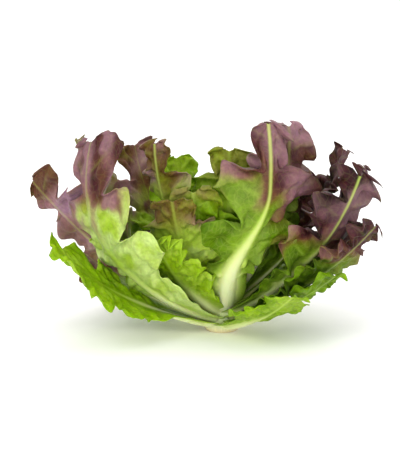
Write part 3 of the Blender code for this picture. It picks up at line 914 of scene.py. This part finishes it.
# %% The leaflets in the middle
LEAFLETS = 7
LEAFLET_REACH = 0.066
LEAFLET_ROOT_RADIUS = 0.0030
LEAFLET_FOOT = 0.0027
LEAFLET_FIRST_CENTRE = STEM_HEIGHT - 0.004
LEAFLET_CENTRE_STEP = 0.001
LEAFLET_COUNTS = (48, 2, 8)
LEAFLET_LOOK = Look(0.10, 0.60, 0.80, 2.2, 0.8, 0.2, 0.5)


def leaflet_sheet(index):
    """One of the newest leaflets, whose tip leans in over the middle; they go on by the golden angle."""
    leaf = heart_leaf(HEART_LEAVES + index)._replace(
        age=6.0,
        rise=16.0,
        reach=LEAFLET_REACH * (1.0 - 0.05 * index),
        widest=0.015,
        wave=0.0020,
    )
    start = LEAFLET_ROOT_RADIUS / math.cos(root_angle(leaf.age))
    centre = LEAFLET_FIRST_CENTRE + LEAFLET_CENTRE_STEP * index
    return leaf_sheet(leaf, LEAFLET_LOOK, centre, start, LEAFLET_FOOT, HEART_LOBES, LEAFLET_COUNTS)


parts = [sheet_arrays(heart_sheet(index)) for index in range(HEART_LEAVES)]
parts += [sheet_arrays(leaflet_sheet(index)) for index in range(LEAFLETS)]
heart = new_skin("heart_leaves", joined(parts), young_blade, "heart")
print("heart:", len(heart.data.polygons), "faces")

# %% [markdown]
# ## The stem
#
# The stem is a short fleshy cone. Each leaf's foot runs down it as a soft ridge that gets lower towards
# the cut, and the knife leaves a flat face with a slightly rounded rim. A Screw modifier could turn the
# profile, but it gives every side the same radius. Here the profile is turned on a grid, and a ridge
# below each leaf is added to its radius.

# %% The stem's grid
RIDGE_HEIGHT = 0.0042
RIDGE_HALF_WIDTH = 0.0078
FOOT_RADIUS = 0.011
CUT_BEVEL = 0.0008
STEM_ROWS = 56
STEM_COLUMNS = 144


def stem_profile(rows):
    """Radius and height of each ring: out over the cut face, up the cone and in over the top."""
    face = [(STEM_RADIUS * share, 0.0) for share in np.linspace(0.08, 0.92, 8)]
    side = [(stem_radius(height), height) for height in np.linspace(CUT_BEVEL, STEM_HEIGHT - 0.001, rows)]
    top = [(STEM_TOP_RADIUS * share, STEM_HEIGHT) for share in (0.8, 0.5, 0.2)]
    return np.array(face + side + top)


def stem_grid(rows, columns):
    """The turned profile with a bell-shaped ridge below each leaf's foot and fine upright lines."""
    profile = stem_profile(rows)
    turn = np.linspace(0.0, 2.0 * np.pi, columns, endpoint=False)[None, :]
    radius = profile[:, :1] + 0.0 * turn
    height = profile[:, 1:] + 0.0 * turn
    ridge = 0.0 * radius
    for leaf in LEAVES:
        root = shell_centre(leaf.age) + root_reach(leaf.age) * 0.35
        away = (turn - math.radians(leaf.azimuth) + np.pi) % (2.0 * np.pi) - np.pi
        bell = np.exp(-np.abs(away * FOOT_RADIUS / RIDGE_HALF_WIDTH) ** 3)
        below = np.clip(height / root, 0.0, 1.0) ** 0.7 * (1.0 - smooth_step(root, root + 0.004, height))
        ridge = np.maximum(ridge, bell * below)
    lines = 0.00012 * np.sin(46.0 * turn + 3.0 * np.sin(3.0 * turn))
    side = smooth_step(0.0, 0.003, height) * (1.0 - smooth_step(STEM_HEIGHT - 0.004, STEM_HEIGHT, height))
    return placed(radius + side * (RIDGE_HEIGHT * ridge + lines), turn, height)


def closed_turned(grid):
    """Faces of a turned grid, ring to ring, and a fan of triangles to one middle point at each end."""
    rings, columns = grid.shape[:2]
    index = np.arange(rings * columns).reshape(rings, columns)
    after = np.roll(index, -1, axis=1)
    sides = np.stack((index[:-1], after[:-1], after[1:], index[1:]), -1).reshape(-1, 4).tolist()
    first, last = rings * columns, rings * columns + 1
    bottom = np.stack((after[0], index[0], np.full(columns, first)), -1).tolist()
    top = np.stack((index[-1], after[-1], np.full(columns, last)), -1).tolist()
    middles = np.stack((grid[0].mean(axis=0), grid[-1].mean(axis=0)))
    return np.concatenate((grid.reshape(-1, 3), middles)), sides + bottom + top


print("the stem's profile has", len(stem_profile(STEM_ROWS)), "rings")

# %% [markdown]
# ## The flesh of the stem
#
# The stem's flesh is pale and watery, greenish white with fine upright fibres. Where it was cut it has
# dried to a pinkish beige. Fibres are about 0.6 mm apart. Wave textures would draw them too regularly, so
# it is a noise stretched along the axis, drawn 1.2 mm apart because finer ones don't show.

# %% Stem material
FIBRE = 0.0012
DRIED_HEIGHT = 0.010
STEM_STOPS = ((0.0, "#d6c9a2"), (0.35, "#d8d9ac"), (1.0, "#d3dea6"))


def stem_material():
    """Pale green flesh with upright fibres, turning pinkish beige towards the cut."""
    material, tree = new_material("pale_lettuce_stem")
    place = add_node(tree, "ShaderNodeTexCoord")
    stretched = add_node(
        tree, "ShaderNodeMapping", None, {"Vector": place.outputs["Object"], "Scale": (1.0, 1.0, 0.12)}
    )
    fibres = add_node(
        tree, "ShaderNodeTexNoise", None,
        {"Vector": stretched.outputs[0], "Scale": 1.0 / FIBRE, "Detail": 2.0},
    )
    split = add_node(tree, "ShaderNodeSeparateXYZ", None, {"Vector": place.outputs["Object"]})
    drying = add_node(
        tree, "ShaderNodeMapRange", {"interpolation_type": "SMOOTHSTEP"},
        {"Value": split.outputs["Z"], "From Min": 0.0, "From Max": DRIED_HEIGHT},
    )
    flesh = add_node(tree, "ShaderNodeValToRGB", None, {"Fac": drying.outputs[0]}, STEM_STOPS)
    streaks = add_node(
        tree, "ShaderNodeMapRange", None,
        {"Value": fibres.outputs["Fac"], "From Min": 0.3, "From Max": 0.7, "To Min": 0.90, "To Max": 1.06},
    )
    colour = add_node(
        tree, "ShaderNodeVectorMath", {"operation": "SCALE"},
        {0: flesh.outputs[0], "Scale": streaks.outputs[0]},
    )
    bump = add_node(
        tree, "ShaderNodeBump", None,
        {"Height": fibres.outputs["Fac"], "Strength": 0.2, "Distance": 0.0004},
    )
    shader = add_node(
        tree, "ShaderNodeBsdfPrincipled", None,
        {
            "Base Color": colour.outputs[0],
            "Roughness": 0.42,
            "Normal": bump.outputs[0],
            "IOR": 1.40,
            "Subsurface Weight": 0.25,
            "Subsurface Radius": (1.0, 0.9, 0.4),
            "Subsurface Scale": 0.004,
        },
    )
    add_node(tree, "ShaderNodeOutputMaterial", None, {"Surface": shader.outputs[0]})
    return material


print("the cut's dried colour fades over", DRIED_HEIGHT * 1000.0, "mm")

# %% Make the stem
stem_points, stem_faces = closed_turned(stem_grid(STEM_ROWS, STEM_COLUMNS))
stem_mesh = bpy.data.meshes.new("stem_flesh")
stem_mesh.from_pydata(stem_points.tolist(), [], stem_faces)
stem_mesh.polygons.foreach_set("use_smooth", np.ones(len(stem_faces), dtype=bool))
stem_mesh.materials.append(stem_material())
stem_flesh = bpy.data.objects.new("stem_flesh", stem_mesh)
bpy.context.scene.collection.objects.link(stem_flesh)
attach(stem_flesh, "root")
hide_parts("stem")
print("stem:", len(stem_faces), "faces")

# %% [markdown]
# ## Floor, light and camera
#
# The head stands on a plain pale floor under soft studio light: one broad lamp from the front left,
# weaker ones from the right and from behind, and a low one that reaches the stem under the leaves. The
# white world alone would light it evenly, but the leaves would look flat. A view with a little more
# contrast keeps the floor white and the gaps between the leaves deep. The camera looks along +Y from 10
# degrees above level. It is 1.1 m away, so the perspective is mild.

# %% Floor
FLOOR_RADIUS = 12.0
FLOOR_SIDES = 96


def plain_floor(radius):
    """A round flat floor under the stem, matt and nearly white."""
    material, tree = new_material("matt_white_floor")
    place = add_node(tree, "ShaderNodeTexCoord")
    grain = add_node(tree, "ShaderNodeTexNoise", None, {"Vector": place.outputs["Object"], "Scale": 40.0})
    tint = add_node(
        tree, "ShaderNodeValToRGB", None, {"Fac": grain.outputs["Fac"]}, ((0.3, "#fafaf9"), (0.7, "#fcfcfb"))
    )
    shader = add_node(
        tree, "ShaderNodeBsdfPrincipled", None, {"Base Color": tint.outputs[0], "Roughness": 0.9}
    )
    add_node(tree, "ShaderNodeOutputMaterial", None, {"Surface": shader.outputs[0]})
    turn = np.linspace(0.0, 2.0 * np.pi, FLOOR_SIDES, endpoint=False)
    mesh = bpy.data.meshes.new("floor")
    mesh.from_pydata(placed(radius, turn, 0.0 * turn).tolist(), [], [tuple(range(FLOOR_SIDES))])
    mesh.materials.append(material)
    floor = bpy.data.objects.new("floor", mesh)
    bpy.context.scene.collection.objects.link(floor)
    floor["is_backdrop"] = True


plain_floor(FLOOR_RADIUS)
print("floor radius:", FLOOR_RADIUS, "m")

# %% Lights
HEAD_MIDDLE = Vector((0.0, 0.0, 0.08))


def soft_lamp(name, place, size, power):
    """A square area light that points at the middle of the head."""
    data = bpy.data.lights.new(name, "AREA")
    data.size = size
    data.energy = power
    lamp = bpy.data.objects.new(name, data)
    lamp.location = place
    lamp.rotation_euler = (HEAD_MIDDLE - Vector(place)).to_track_quat("-Z", "Y").to_euler()
    bpy.context.scene.collection.objects.link(lamp)
    lamp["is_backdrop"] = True


soft_lamp("key_lamp", (-0.6, -1.1, 1.1), 0.7, 5.6)
soft_lamp("fill_lamp", (1.2, -0.9, 0.5), 1.0, 2.5)
soft_lamp("back_lamp", (0.4, 1.2, 1.1), 0.9, 4.0)
soft_lamp("low_lamp", (-0.15, -1.3, 0.12), 0.3, 4.6)
world = bpy.data.worlds.new("white_studio")
world.use_nodes = True
world.node_tree.nodes["Background"].inputs["Color"].default_value = (1.0, 1.0, 1.0, 1.0)
world.node_tree.nodes["Background"].inputs["Strength"].default_value = 1.0
bpy.context.scene.world = world
bpy.context.scene.view_settings.view_transform = "Standard"
bpy.context.scene.view_settings.look = "Medium High Contrast"
print("lamps:", [item.name for item in bpy.data.lights])

# %% Camera
HALF_WIDTH = 0.164
DISTANCE = 1.10
ELEVATION = math.radians(10.0)
PICTURE_WIDTH, PICTURE_HEIGHT = 400.0, 457.0
TARGET = Vector((-0.018, 0.0, 0.085))
camera_data = bpy.data.cameras.new("camera")
half_height = HALF_WIDTH * PICTURE_HEIGHT / PICTURE_WIDTH
camera_data.lens = 0.5 * camera_data.sensor_width * DISTANCE / half_height
camera = bpy.data.objects.new("camera", camera_data)
camera.location = TARGET + DISTANCE * Vector((0.0, -math.cos(ELEVATION), math.sin(ELEVATION)))
camera.rotation_euler = (TARGET - camera.location).to_track_quat("-Z", "Y").to_euler()
bpy.context.scene.collection.objects.link(camera)
bpy.context.scene.camera = camera
print("lens:", round(camera_data.lens, 1), "mm")
